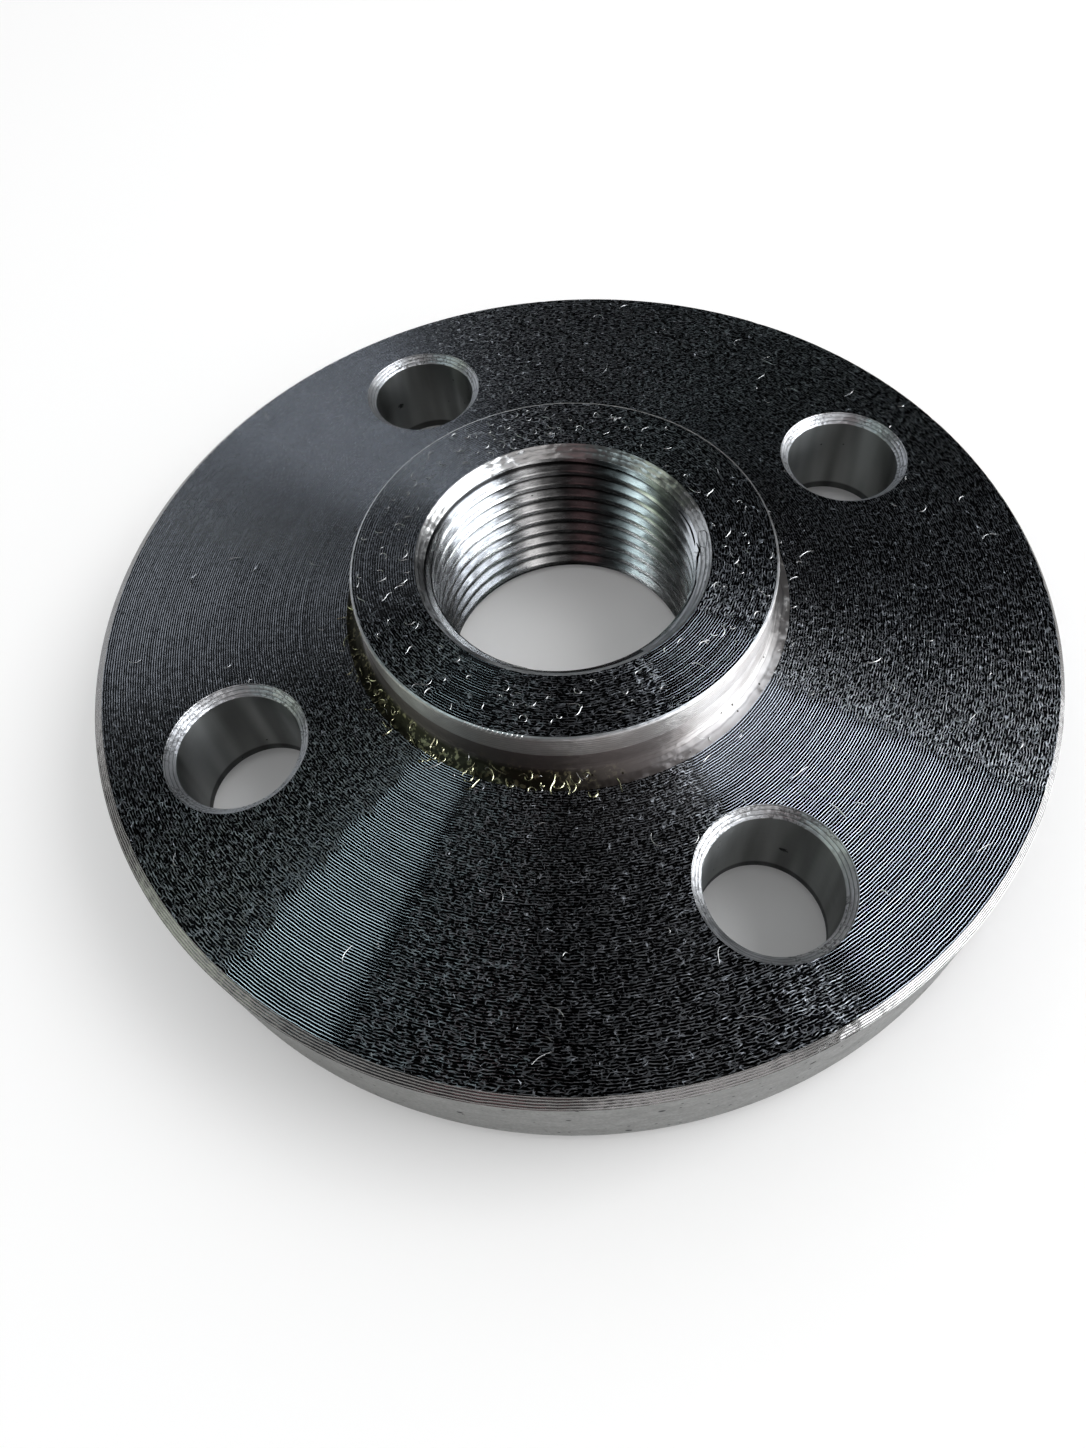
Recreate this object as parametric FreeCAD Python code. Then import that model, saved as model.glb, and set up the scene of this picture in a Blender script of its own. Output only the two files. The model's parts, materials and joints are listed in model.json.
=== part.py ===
import FreeCAD, Part
import math
import os

# Threaded pipe flange with a short hub, turned in one piece.
#
# Units are millimetres. The origin is the centre of the sealing face that the
# flange stands on, +Z points along the bore towards the hub, and the bolt holes
# straddle the X and Y axes.

# Driving dimensions of the flange plate
FLANGE_DIAMETER = 115.0
PLATE_THICKNESS = 14.0
RIM_TOP_CHAMFER = 0.9
RIM_BOTTOM_CHAMFER = 0.4

# Raised sealing face on the underside
SEALING_FACE_DIAMETER = 68.0
SEALING_FACE_HEIGHT = 2.0
SEALING_FACE_CHAMFER = 0.3

# Hub around the thread
HUB_DIAMETER = 50.0
HUB_HEIGHT = 7.7
HUB_ROOT_FILLET = 2.0
HUB_EDGE_CHAMFER = 0.3

# Bore, at the crest diameter of the pipe thread
BORE_DIAMETER = 30.9
BORE_MOUTH_DIAMETER = 34.6
BORE_MOUTH_DEPTH = 2.0
BORE_FOOT_CHAMFER = 0.9

# Bolt circle
BOLT_CIRCLE_DIAMETER = 85.0
BOLT_HOLE_COUNT = 4
BOLT_HOLE_DIAMETER = 14.0
BOLT_HOLE_TOP_CHAMFER = 1.2
BOLT_HOLE_BOTTOM_CHAMFER = 0.3

# Levels above the sealing face
PLATE_BOTTOM = SEALING_FACE_HEIGHT
PLATE_TOP = PLATE_BOTTOM + PLATE_THICKNESS
HUB_TOP = PLATE_TOP + HUB_HEIGHT

# How far a cutter runs past the face that it cuts
CUTTER_OVERRUN = 1.0


def at(radius, height):
    """Return a point of the turning section, which lies in the XZ plane."""
    return FreeCAD.Vector(radius, 0, height)


def line(start, end):
    """Return a straight edge of the section."""
    return Part.LineSegment(start, end).toShape()


def hub_root_fillet():
    """Return the quarter arc that runs the hub's side into the plate's face."""
    hub_radius = HUB_DIAMETER / 2
    centre = at(hub_radius + HUB_ROOT_FILLET, PLATE_TOP + HUB_ROOT_FILLET)
    start = centre + at(0, -HUB_ROOT_FILLET)
    end = centre + at(-HUB_ROOT_FILLET, 0)
    diagonal = -HUB_ROOT_FILLET * math.sqrt(0.5)
    middle = centre + at(diagonal, diagonal)
    return Part.Arc(start, middle, end).toShape()


def outer_edges():
    """Return the outside of the section, from the bore's foot to its mouth."""
    bore_radius = BORE_DIAMETER / 2
    face_radius = SEALING_FACE_DIAMETER / 2
    rim_radius = FLANGE_DIAMETER / 2
    hub_radius = HUB_DIAMETER / 2
    below_fillet = [
        at(bore_radius + BORE_FOOT_CHAMFER, 0),
        at(face_radius - SEALING_FACE_CHAMFER, 0),
        at(face_radius, SEALING_FACE_CHAMFER),
        at(face_radius, PLATE_BOTTOM),
        at(rim_radius - RIM_BOTTOM_CHAMFER, PLATE_BOTTOM),
        at(rim_radius, PLATE_BOTTOM + RIM_BOTTOM_CHAMFER),
        at(rim_radius, PLATE_TOP - RIM_TOP_CHAMFER),
        at(rim_radius - RIM_TOP_CHAMFER, PLATE_TOP),
        at(hub_radius + HUB_ROOT_FILLET, PLATE_TOP),
    ]
    above_fillet = [
        at(hub_radius, PLATE_TOP + HUB_ROOT_FILLET),
        at(hub_radius, HUB_TOP - HUB_EDGE_CHAMFER),
        at(hub_radius - HUB_EDGE_CHAMFER, HUB_TOP),
        at(BORE_MOUTH_DIAMETER / 2, HUB_TOP),
    ]
    lower = [line(a, b) for a, b in zip(below_fillet, below_fillet[1:])]
    upper = [line(a, b) for a, b in zip(above_fillet, above_fillet[1:])]
    return lower + [hub_root_fillet()] + upper


def bore_edges():
    """Return the bore's side of the section, from its mouth to its foot."""
    bore_radius = BORE_DIAMETER / 2
    points = [
        at(BORE_MOUTH_DIAMETER / 2, HUB_TOP),
        at(bore_radius, HUB_TOP - BORE_MOUTH_DEPTH),
        at(bore_radius, BORE_FOOT_CHAMFER),
        at(bore_radius + BORE_FOOT_CHAMFER, 0),
    ]
    return [line(a, b) for a, b in zip(points, points[1:])]


def turned_blank():
    """Revolve the section about the bore's axis."""
    section = Part.Face(Part.Wire(outer_edges() + bore_edges()))
    return section.revolve(FreeCAD.Vector(0, 0, 0), FreeCAD.Vector(0, 0, 1), 360)


def countersink(radius, chamfer, level, side):
    """Return a 45 degree cone that opens towards the face at the given level."""
    height = chamfer + CUTTER_OVERRUN
    start = at(0, level - side * chamfer)
    axis = FreeCAD.Vector(0, 0, side)
    return Part.makeCone(radius, radius + height, height, start, axis)


def bolt_hole_cutter():
    """Return the drill for one hole, with a countersink for each face."""
    radius = BOLT_HOLE_DIAMETER / 2
    length = PLATE_THICKNESS + 2 * CUTTER_OVERRUN
    drill = Part.makeCylinder(radius, length, at(0, PLATE_BOTTOM - CUTTER_OVERRUN))
    top = countersink(radius, BOLT_HOLE_TOP_CHAMFER, PLATE_TOP, 1)
    bottom = countersink(radius, BOLT_HOLE_BOTTOM_CHAMFER, PLATE_BOTTOM, -1)
    return drill.fuse([top, bottom])


def bolt_hole_cutters():
    """Place the cutter around the bolt circle, straddling the X and Y axes."""
    pitch = 360 / BOLT_HOLE_COUNT
    cutters = []
    for index in range(BOLT_HOLE_COUNT):
        cutter = bolt_hole_cutter()
        cutter.translate(at(BOLT_CIRCLE_DIAMETER / 2, 0))
        cutter.rotate(at(0, 0), FreeCAD.Vector(0, 0, 1), pitch * (index + 0.5))
        cutters.append(cutter)
    return cutters


def threaded_flange():
    """Return the finished flange as one solid."""
    drilled = turned_blank().cut(bolt_hole_cutters())
    return drilled.Solids[0]


os.makedirs("parts", exist_ok=True)
flange = threaded_flange()
flange.exportStep("parts/threaded_flange.step")
print("threaded_flange", flange.isValid(), round(flange.Volume, 1), flange.BoundBox)
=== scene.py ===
import json
import math
import random

import bmesh
import bpy
import numpy as np
from mathutils import Matrix, Quaternion, Vector, geometry, noise


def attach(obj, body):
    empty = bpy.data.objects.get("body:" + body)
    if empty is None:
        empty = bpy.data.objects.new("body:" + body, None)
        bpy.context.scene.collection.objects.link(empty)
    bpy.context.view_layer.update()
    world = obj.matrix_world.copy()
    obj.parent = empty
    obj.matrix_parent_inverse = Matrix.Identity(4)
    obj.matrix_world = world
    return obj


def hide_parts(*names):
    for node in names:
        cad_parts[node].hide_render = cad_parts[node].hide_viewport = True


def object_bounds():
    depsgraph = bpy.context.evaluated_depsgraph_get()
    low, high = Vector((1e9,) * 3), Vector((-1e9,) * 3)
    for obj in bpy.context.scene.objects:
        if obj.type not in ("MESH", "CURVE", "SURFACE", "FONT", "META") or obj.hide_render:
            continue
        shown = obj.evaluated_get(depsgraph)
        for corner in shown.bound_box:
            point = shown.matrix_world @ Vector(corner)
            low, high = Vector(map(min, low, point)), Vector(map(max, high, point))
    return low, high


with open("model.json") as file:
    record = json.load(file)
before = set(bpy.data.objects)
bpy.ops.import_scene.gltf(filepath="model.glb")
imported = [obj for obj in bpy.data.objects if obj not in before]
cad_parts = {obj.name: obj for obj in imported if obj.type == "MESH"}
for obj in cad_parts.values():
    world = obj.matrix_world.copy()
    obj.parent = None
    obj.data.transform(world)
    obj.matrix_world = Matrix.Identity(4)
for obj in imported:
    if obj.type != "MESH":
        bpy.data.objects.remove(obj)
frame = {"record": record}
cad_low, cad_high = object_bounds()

# Looks of a threaded pipe flange: one turned steel piece with a real helical
# thread, faced, drilled and chamfered surfaces, and the swarf left on it.
# Lengths in the constants are millimetres; Blender gets metres.
MM = 0.001
UP = (0.0, 0.0, 1.0)

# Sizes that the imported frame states
mounts = {mount["name"]: mount for mount in frame["record"]["mounts"]}
CREST_RADIUS = mounts["pipe_thread"]["dims"]["r_mm"]
BOLT_CIRCLE_RADIUS = mounts["flange_bolts"]["dims"]["pcd_mm"] / 2
HOLE_RADIUS = mounts["flange_bolts"]["dims"]["hole_r_mm"] + 0.1
HOLE_COUNT = mounts["flange_bolts"]["dims"]["count"]
PLATE_TOP = mounts["nut_face"]["pos_m"][2] / MM
RIM_RADIUS = (cad_high.x - cad_low.x) / 2 / MM

# The hub's face lies this much under the solid's, so that the chips on it fit the solid's box
CHIP_ROOM = 0.06
HUB_TOP = cad_high.z / MM - CHIP_ROOM

# The rest of the turned section
PLATE_BOTTOM = 2.0
RIM_TOP_CHAMFER = 0.9
RIM_BOTTOM_CHAMFER = 0.4
SEALING_FACE_RADIUS = 34.0
SEALING_FACE_CHAMFER = 0.3
HUB_RADIUS = 25.0
HUB_FILLET = 2.0
HUB_EDGE_CHAMFER = 0.3
HUB_LIP_WIDTH = 0.20
HUB_LIP_DROP = 0.07
HUB_SEAM_HEIGHT = 4.1
HUB_SEAM_DEPTH = 0.04
MOUTH_RADIUS = 17.3
MOUTH_DEPTH = 2.0
MOUTH_SHARE = 0.62
FOOT_CHAMFER = 0.9
HOLE_TOP_CHAMFER = 1.1
HOLE_BOTTOM_CHAMFER = 0.2
EDGE_BREAK = 0.07
RIM_OFF_CENTRE = 0.25
RIM_NICK_SPREAD = 60.0
RIM_NICK_LIMIT = 0.35
RIM_NICK_DEPTH = 0.35

# Pipe thread, 11 turns to the inch with 55 degree flanks
THREAD_PITCH = 2.309
THREAD_ROOT_RADIUS = 16.62
THREAD_ROOT_ROUNDING = 0.137 * THREAD_PITCH
THREAD_HALF_ANGLE = math.radians(27.5)
THREAD_BEARING = math.radians(144.5)
THREAD_LEVEL = 19.25
CREST_ROUNDING = 0.30
ROOT_ARC_SHARE = 0.55
CREST_ARC_SHARES = (0.0, 0.33, 0.67, 1.0)
SPARE_TURNS = 3

# Surfaces that are shaded flat
FLAT_FINISHES = ("hub_top", "hub_edge", "faced", "underside", "sealing")

# How finely the mesh is cut
COLUMNS = 360
HOLE_COLUMNS = 96
FILLET_STEPS = 8
SHARP_ANGLE = math.radians(30)

# The photograph's camera. Bearings are turned by this much from the bolt holes.
PHOTO_TURN = math.radians(21.55)
PHOTO_HEIGHT = 1448
CAMERA_ELEVATION = math.radians(52.45)
CAMERA_ROLL = math.radians(-6.39)
CAMERA_DISTANCE = 124.57
CAMERA_OFFSET = (-2.60, 1.37)
CAMERA_FOCAL_PIXELS = 1007.8
CAMERA_AXIS_ROW = 582.0
CAMERA_NEAR = 0.005
CAMERA_FAR = 20.0
SENSOR_SIZE = 36.0

# Light. The floor is lifted towards white for the camera alone.
LAMP_DISTANCE = 0.8
KEY_RADIANCE = 4.4
SKY_IRRADIANCE = 2.6
FLOOR_HALF_WIDTH = 4.0
FLOOR_TONE = (0.86, 0.86, 0.86)
FLOOR_IN_STEEL = (0.50, 0.50, 0.50)
FLOOR_LIFT = 0.05
BACKDROP_STRENGTH = 0.96
ROOM_TONE = (0.020, 0.021, 0.022)

# Cards that show in the steel: name, bearing, elevation, width, height, radiance, tint and roll
REFLECTORS = (
    ("right_softbox", -20, 11, 60, 32, 6.4, (0.97, 1.0, 1.04), -14),
    ("high_right_window", -10.5, 50, 30, 20, 3.1, (0.94, 1.0, 1.12), -30),
    ("left_window", -162, 51.5, 15, 20, 2.0, (0.80, 1.0, 1.06), 33),
    ("front_window", -78, 7, 32, 18, 1.3, (0.98, 0.96, 1.0)),
    ("high_front_window", -74, 43, 22, 14, 1.6, (1.0, 0.97, 0.98)),
)

# Soft glows in the room: bearing, elevation, inner and outer reach, and tint
GLOWS = (
    (160, -3, 3, 10, (2.4, 2.4, 2.4)),
    (-162, 3, 4, 20, (0.80, 0.81, 0.76)),
    (112, -2, 6, 24, (0.90, 0.97, 1.10)),
    (142, 8, 4, 22, (0.88, 0.93, 1.02)),
    (-170, 20, 4, 14, (0.60, 0.74, 0.56)),
    (-112, 42, 2, 9, (0.60, 0.34, 0.36)),
)


def polar(radius, bearing, height):
    """Return a point in metres from millimetres and radians."""
    return (radius * math.cos(bearing) * MM, radius * math.sin(bearing) * MM, height * MM)


def photo_bearing(degrees):
    """Return a bearing about Z for an angle measured in the photograph's frame."""
    return math.radians(degrees) + PHOTO_TURN


def direction(degrees, elevation):
    """Return a unit vector towards a photograph-frame bearing and elevation in degrees."""
    bearing = photo_bearing(degrees)
    rise = math.radians(elevation)
    reach = math.cos(rise)
    return Vector((reach * math.cos(bearing), reach * math.sin(bearing), math.sin(rise)))


def hole_centres():
    """Return the bolt holes' centres in millimetres."""
    bearings = [math.tau * (index + 0.5) / HOLE_COUNT for index in range(HOLE_COUNT)]
    return [(BOLT_CIRCLE_RADIUS * math.cos(b), BOLT_CIRCLE_RADIUS * math.sin(b)) for b in bearings]


class Shell:
    """Collects the points and faces of one closed mesh."""

    def __init__(self):
        self.points = []
        self.faces = []
        self.finishes = []

    def ring(self, radius, height, count=COLUMNS, centre=(0.0, 0.0)):
        """Add a circle of points; radius may be a function of the bearing."""
        first = len(self.points)
        for column in range(count):
            bearing = math.tau * column / count
            r = radius(bearing) if callable(radius) else radius
            x, y, z = polar(r, bearing, height)
            self.points.append((x + centre[0] * MM, y + centre[1] * MM, z))
        return list(range(first, first + count))

    def face(self, corners, finish):
        """Add one face, and leave out corners that have merged."""
        kept = list(dict.fromkeys(corners))
        if len(kept) > 2:
            self.faces.append(kept)
            self.finishes.append(finish)

    def strip(self, start, end, finish):
        """Join two rings of equal count with a band of faces."""
        count = len(start)
        for column in range(count):
            after = (column + 1) % count
            self.face([start[column], start[after], end[after], end[column]], finish)

    def turned(self, start, section, centre=(0.0, 0.0)):
        """Turn a section of (radius, height, finish) on from a ring, and return its last ring."""
        for radius, height, finish in section:
            end = self.ring(radius, height, len(start), centre)
            self.strip(start, end, finish)
            start = end
        return start

    def drilled_face(self, outer, inner, holes, finish):
        """Fill the flat face between two rings and leave the holes open."""
        rings = [outer, inner] + [ring for ring, _ in holes]
        index = [i for ring in rings for i in ring]
        flat_points = [Vector(self.points[i][:2]) / MM for i in index]
        edges = []
        for ring in rings:
            start = len(edges)
            edges += [(start + i, start + (i + 1) % len(ring)) for i in range(len(ring))]
        triangles = geometry.delaunay_2d_cdt(flat_points, edges, [], 0, 1e-6)[2]
        inner_radius = min(flat_points[len(outer) + i].length for i in range(len(inner)))
        for triangle in triangles:
            middle = sum((flat_points[i] for i in triangle), Vector((0, 0))) / 3
            column = math.floor(math.atan2(middle.y, middle.x) / math.tau * len(outer)) % len(outer)
            start, end = flat_points[column], flat_points[(column + 1) % len(outer)]
            beyond_rim = (end - start).cross(middle - start) < 0
            in_hole = any((middle - centre).length < radius * math.cos(math.pi / HOLE_COLUMNS) ** 2
                          for _, (centre, radius) in holes)
            if middle.length > inner_radius and not beyond_rim and not in_hole:
                self.face([index[i] for i in triangle], finish)

    def mesh(self, name, materials):
        """Return the mesh, with a material for each finish that a face may have."""
        data = bpy.data.meshes.new(name)
        data.from_pydata(self.points, [], self.faces)
        for material in materials.values():
            data.materials.append(material)
        order = list(materials)
        data.polygons.foreach_set("material_index", [order.index(f) for f in self.finishes])
        data.polygons.foreach_set("use_smooth", [f not in FLAT_FINISHES for f in self.finishes])
        data.update()
        return data


def thread_section():
    """Return the groove's half section as (distance from its middle, radius)."""
    tangent_height = THREAD_ROOT_ROUNDING * math.cos(THREAD_HALF_ANGLE)
    tangent_radius = THREAD_ROOT_RADIUS - THREAD_ROOT_ROUNDING * (1 - math.sin(THREAD_HALF_ANGLE))
    crest_edge = tangent_height + (tangent_radius - CREST_RADIUS) * math.tan(THREAD_HALF_ANGLE)
    half_arc = tangent_height * ROOT_ARC_SHARE
    arc_drop = THREAD_ROOT_ROUNDING - math.sqrt(THREAD_ROOT_ROUNDING ** 2 - half_arc ** 2)
    points = [(0.0, THREAD_ROOT_RADIUS), (half_arc, THREAD_ROOT_RADIUS - arc_drop),
              (tangent_height, tangent_radius)]
    whole_turn = math.pi / 2 - THREAD_HALF_ANGLE
    blunt = CREST_ROUNDING * math.tan(whole_turn / 2)
    for share in CREST_ARC_SHARES:
        turned = whole_turn * (1 - share)
        height = crest_edge + blunt - CREST_ROUNDING * math.sin(turned)
        points.append((height, CREST_RADIUS + CREST_ROUNDING * (1 - math.cos(turned))))
    return points + [(THREAD_PITCH / 2, CREST_RADIUS)]


def groove_level(bearing):
    """Return the height of the thread's groove at a bearing."""
    return THREAD_LEVEL + THREAD_PITCH * (bearing - THREAD_BEARING) / math.tau


def bore_radius(height, bearing, section_heights, section_radii):
    """Return the bore's wall radius: thread, mouth and foot chamfers together."""
    offset = (height - groove_level(bearing) + THREAD_PITCH / 2) % THREAD_PITCH - THREAD_PITCH / 2
    thread = np.interp(abs(offset), section_heights, section_radii)
    mouth_slope = (MOUTH_RADIUS - CREST_RADIUS) / MOUTH_DEPTH
    mouth = MOUTH_RADIUS - (HUB_TOP - height) * mouth_slope
    foot = CREST_RADIUS + FOOT_CHAMFER - height
    return max(thread, mouth, foot)


def add_bore(shell, foot_ring, mouth_ring):
    """Add the threaded wall, on rows of points that climb with the helix."""
    heights, radii = zip(*thread_section())
    offsets = sorted({-h for h in heights[1:-1]} | set(heights))
    lowest_turn = -int(HUB_TOP / THREAD_PITCH) - SPARE_TURNS
    end_gap = EDGE_BREAK / 2
    columns = []
    for column in range(COLUMNS):
        bearing = math.tau * column / COLUMNS
        groove = groove_level(bearing)
        levels = [groove + turn * THREAD_PITCH + offset
                  for turn in range(lowest_turn, SPARE_TURNS) for offset in offsets]
        for crease in (HUB_TOP - MOUTH_DEPTH, FOOT_CHAMFER):
            nearest = min(range(len(levels)), key=lambda i: abs(levels[i] - crease))
            levels[nearest] = crease
        indices = []
        for level in levels:
            if level <= end_gap:
                indices.append(foot_ring[column])
            elif level >= HUB_TOP - end_gap:
                indices.append(mouth_ring[column])
            else:
                indices.append(len(shell.points))
                radius = bore_radius(level, bearing, heights, radii)
                shell.points.append(polar(radius, bearing, level))
        columns.append(indices)
    mouth_limit = HUB_TOP - MOUTH_SHARE * MOUTH_DEPTH
    for column in range(COLUMNS):
        left = columns[column]
        after = (column + 1) % COLUMNS
        lift = len(offsets) if after == 0 else 0
        right = columns[after]
        for row in range(len(left) - 1 - lift):
            corners = [left[row], right[row + lift], right[row + 1 + lift], left[row + 1]]
            level = max(shell.points[i][2] for i in corners) / MM
            shell.face(corners, "mouth" if level > mouth_limit else "thread")


def rim_edge_radius(bearing):
    """Return the plate's top edge: the chamfer is a little off centre and nicked."""
    wander = RIM_OFF_CENTRE * math.cos(bearing - PHOTO_TURN)
    nick = noise.noise(Vector((math.cos(bearing), math.sin(bearing), 0.3)) * RIM_NICK_SPREAD)
    chip = max(0.0, nick - RIM_NICK_LIMIT) * RIM_NICK_DEPTH
    return RIM_RADIUS - RIM_TOP_CHAMFER + wander - chip


def root_fillet():
    """Return the hub's root fillet as a section."""
    section = []
    for step in range(FILLET_STEPS + 1):
        angle = math.pi / 2 * step / FILLET_STEPS
        radius = HUB_RADIUS + HUB_FILLET * (1 - math.cos(angle))
        section.append((radius, PLATE_TOP + HUB_FILLET * (1 - math.sin(angle)), "hub_side"))
    return section


def add_outside(shell, mouth_ring, foot_ring, hole_top_rings, hole_bottom_rings):
    """Add everything outside the bore, from the hub's top round to the sealing face."""
    hub_edge = HUB_RADIUS - HUB_EDGE_CHAMFER
    seam = PLATE_TOP + HUB_SEAM_HEIGHT
    root = shell.turned(mouth_ring, [
        (MOUTH_RADIUS + EDGE_BREAK, HUB_TOP, "mouth"),
        (hub_edge, HUB_TOP, "hub_top"),
        (hub_edge + HUB_LIP_WIDTH, HUB_TOP - HUB_LIP_DROP, "hub_edge"),
        (HUB_RADIUS, HUB_TOP - HUB_EDGE_CHAMFER, "chamfer"),
        (HUB_RADIUS, seam + HUB_SEAM_DEPTH * 2, "hub_side"),
        (HUB_RADIUS - HUB_SEAM_DEPTH, seam, "hub_side"),
        (HUB_RADIUS, seam - HUB_SEAM_DEPTH * 2, "hub_side"),
    ] + root_fillet())
    rim_top = shell.ring(rim_edge_radius, PLATE_TOP)
    shell.drilled_face(rim_top, root, hole_top_rings, "faced")

    rim_foot = shell.turned(rim_top, [
        (lambda b: (rim_edge_radius(b) + RIM_RADIUS) / 2, PLATE_TOP - RIM_TOP_CHAMFER / 2, "rim_chamfer"),
        (RIM_RADIUS, PLATE_TOP - RIM_TOP_CHAMFER, "rim_chamfer"),
        (RIM_RADIUS, PLATE_BOTTOM + RIM_BOTTOM_CHAMFER, "rim"),
        (RIM_RADIUS - RIM_BOTTOM_CHAMFER, PLATE_BOTTOM, "chamfer"),
    ])
    step_top = shell.ring(SEALING_FACE_RADIUS, PLATE_BOTTOM)
    shell.drilled_face(rim_foot, step_top, hole_bottom_rings, "underside")
    step_edge = shell.turned(step_top, [
        (SEALING_FACE_RADIUS, SEALING_FACE_CHAMFER, "chamfer"),
        (SEALING_FACE_RADIUS - SEALING_FACE_CHAMFER, 0.0, "chamfer"),
    ])
    shell.strip(step_edge, foot_ring, "sealing")


def add_bolt_holes(shell):
    """Add the bolt holes and return their rings on the plate's two faces."""
    mouth = HOLE_RADIUS + HOLE_TOP_CHAMFER
    foot = HOLE_RADIUS + HOLE_BOTTOM_CHAMFER
    top_rings, bottom_rings = [], []
    for centre in hole_centres():
        top = shell.ring(mouth, PLATE_TOP, HOLE_COLUMNS, centre)
        bottom = shell.turned(top, [
            (HOLE_RADIUS, PLATE_TOP - HOLE_TOP_CHAMFER, "countersink"),
            (HOLE_RADIUS, PLATE_BOTTOM + HOLE_BOTTOM_CHAMFER, "hole"),
            (foot, PLATE_BOTTOM, "chamfer"),
        ], centre)
        top_rings.append((top, (Vector(centre), mouth)))
        bottom_rings.append((bottom, (Vector(centre), foot)))
    return top_rings, bottom_rings


class Nodes:
    """Builds the node tree of a material or of the world."""

    def __init__(self, owner):
        owner.use_nodes = True
        self.tree = owner.node_tree

    def node(self, kind, **inputs):
        """Add a node and fill its named inputs."""
        made = self.tree.nodes.new(kind)
        self.fill(made, **inputs)
        return made

    def fill(self, node, **inputs):
        """Set or link the named inputs of a node."""
        for name, value in inputs.items():
            self.feed(node.inputs[name.replace("_", " ")], value)

    def feed(self, socket, value):
        """Link a socket into the input, or write a plain value or a tone there."""
        if isinstance(value, bpy.types.NodeSocket):
            self.tree.links.new(value, socket)
        elif socket.type == "RGBA":
            socket.default_value = (*value, 1.0)
        else:
            socket.default_value = value

    def operated(self, kind, operation, *values):
        """Add a node that works on values, and return its outputs."""
        made = self.tree.nodes.new(kind)
        made.operation = operation
        for socket, value in zip((i for i in made.inputs if i.enabled), values):
            self.feed(socket, value)
        return made.outputs

    def math(self, operation, *values):
        """Add a Math node and return its result."""
        return self.operated("ShaderNodeMath", operation, *values)[0]

    def times(self, first, second):
        """Return the product of two values."""
        return self.math("MULTIPLY", first, second)

    def vector(self, operation, *values):
        """Add a Vector Math node and return its result."""
        outputs = self.operated("ShaderNodeVectorMath", operation, *values)
        return outputs["Value" if operation in ("LENGTH", "DOT_PRODUCT") else "Vector"]

    def scaled(self, vector, factor):
        """Return a vector or a colour times a value."""
        return self.vector("SCALE", vector, factor)

    def ramp(self, value, low, high, out_low=0.0, out_high=1.0):
        """Return the value mapped smoothly from one range to another, clamped at its ends."""
        made = self.node("ShaderNodeMapRange", Value=value, From_Min=low, From_Max=high,
                         To_Min=out_low, To_Max=out_high)
        made.interpolation_type = "SMOOTHSTEP"
        return made.outputs[0]

    def blend(self, share, first, second):
        """Return two colours mixed by share."""
        made = self.tree.nodes.new("ShaderNodeMix")
        made.data_type = "RGBA"
        for socket, value in ((0, share), (6, first), (7, second)):
            self.feed(made.inputs[socket], value)
        return made.outputs[2]

    def joined(self, kind, first, second):
        """Add or mix two shaders."""
        made = self.tree.nodes.new(kind)
        for socket, shader in zip(list(made.inputs)[-2:], (first, second)):
            self.feed(socket, shader.outputs[0])
        return made

    def within_cone(self, alignment, inner, outer):
        """Return 1 where a cosine is inside a cone of directions, fading to 0 outside it."""
        return self.ramp(alignment, math.cos(math.radians(outer)), math.cos(math.radians(inner)))


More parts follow.
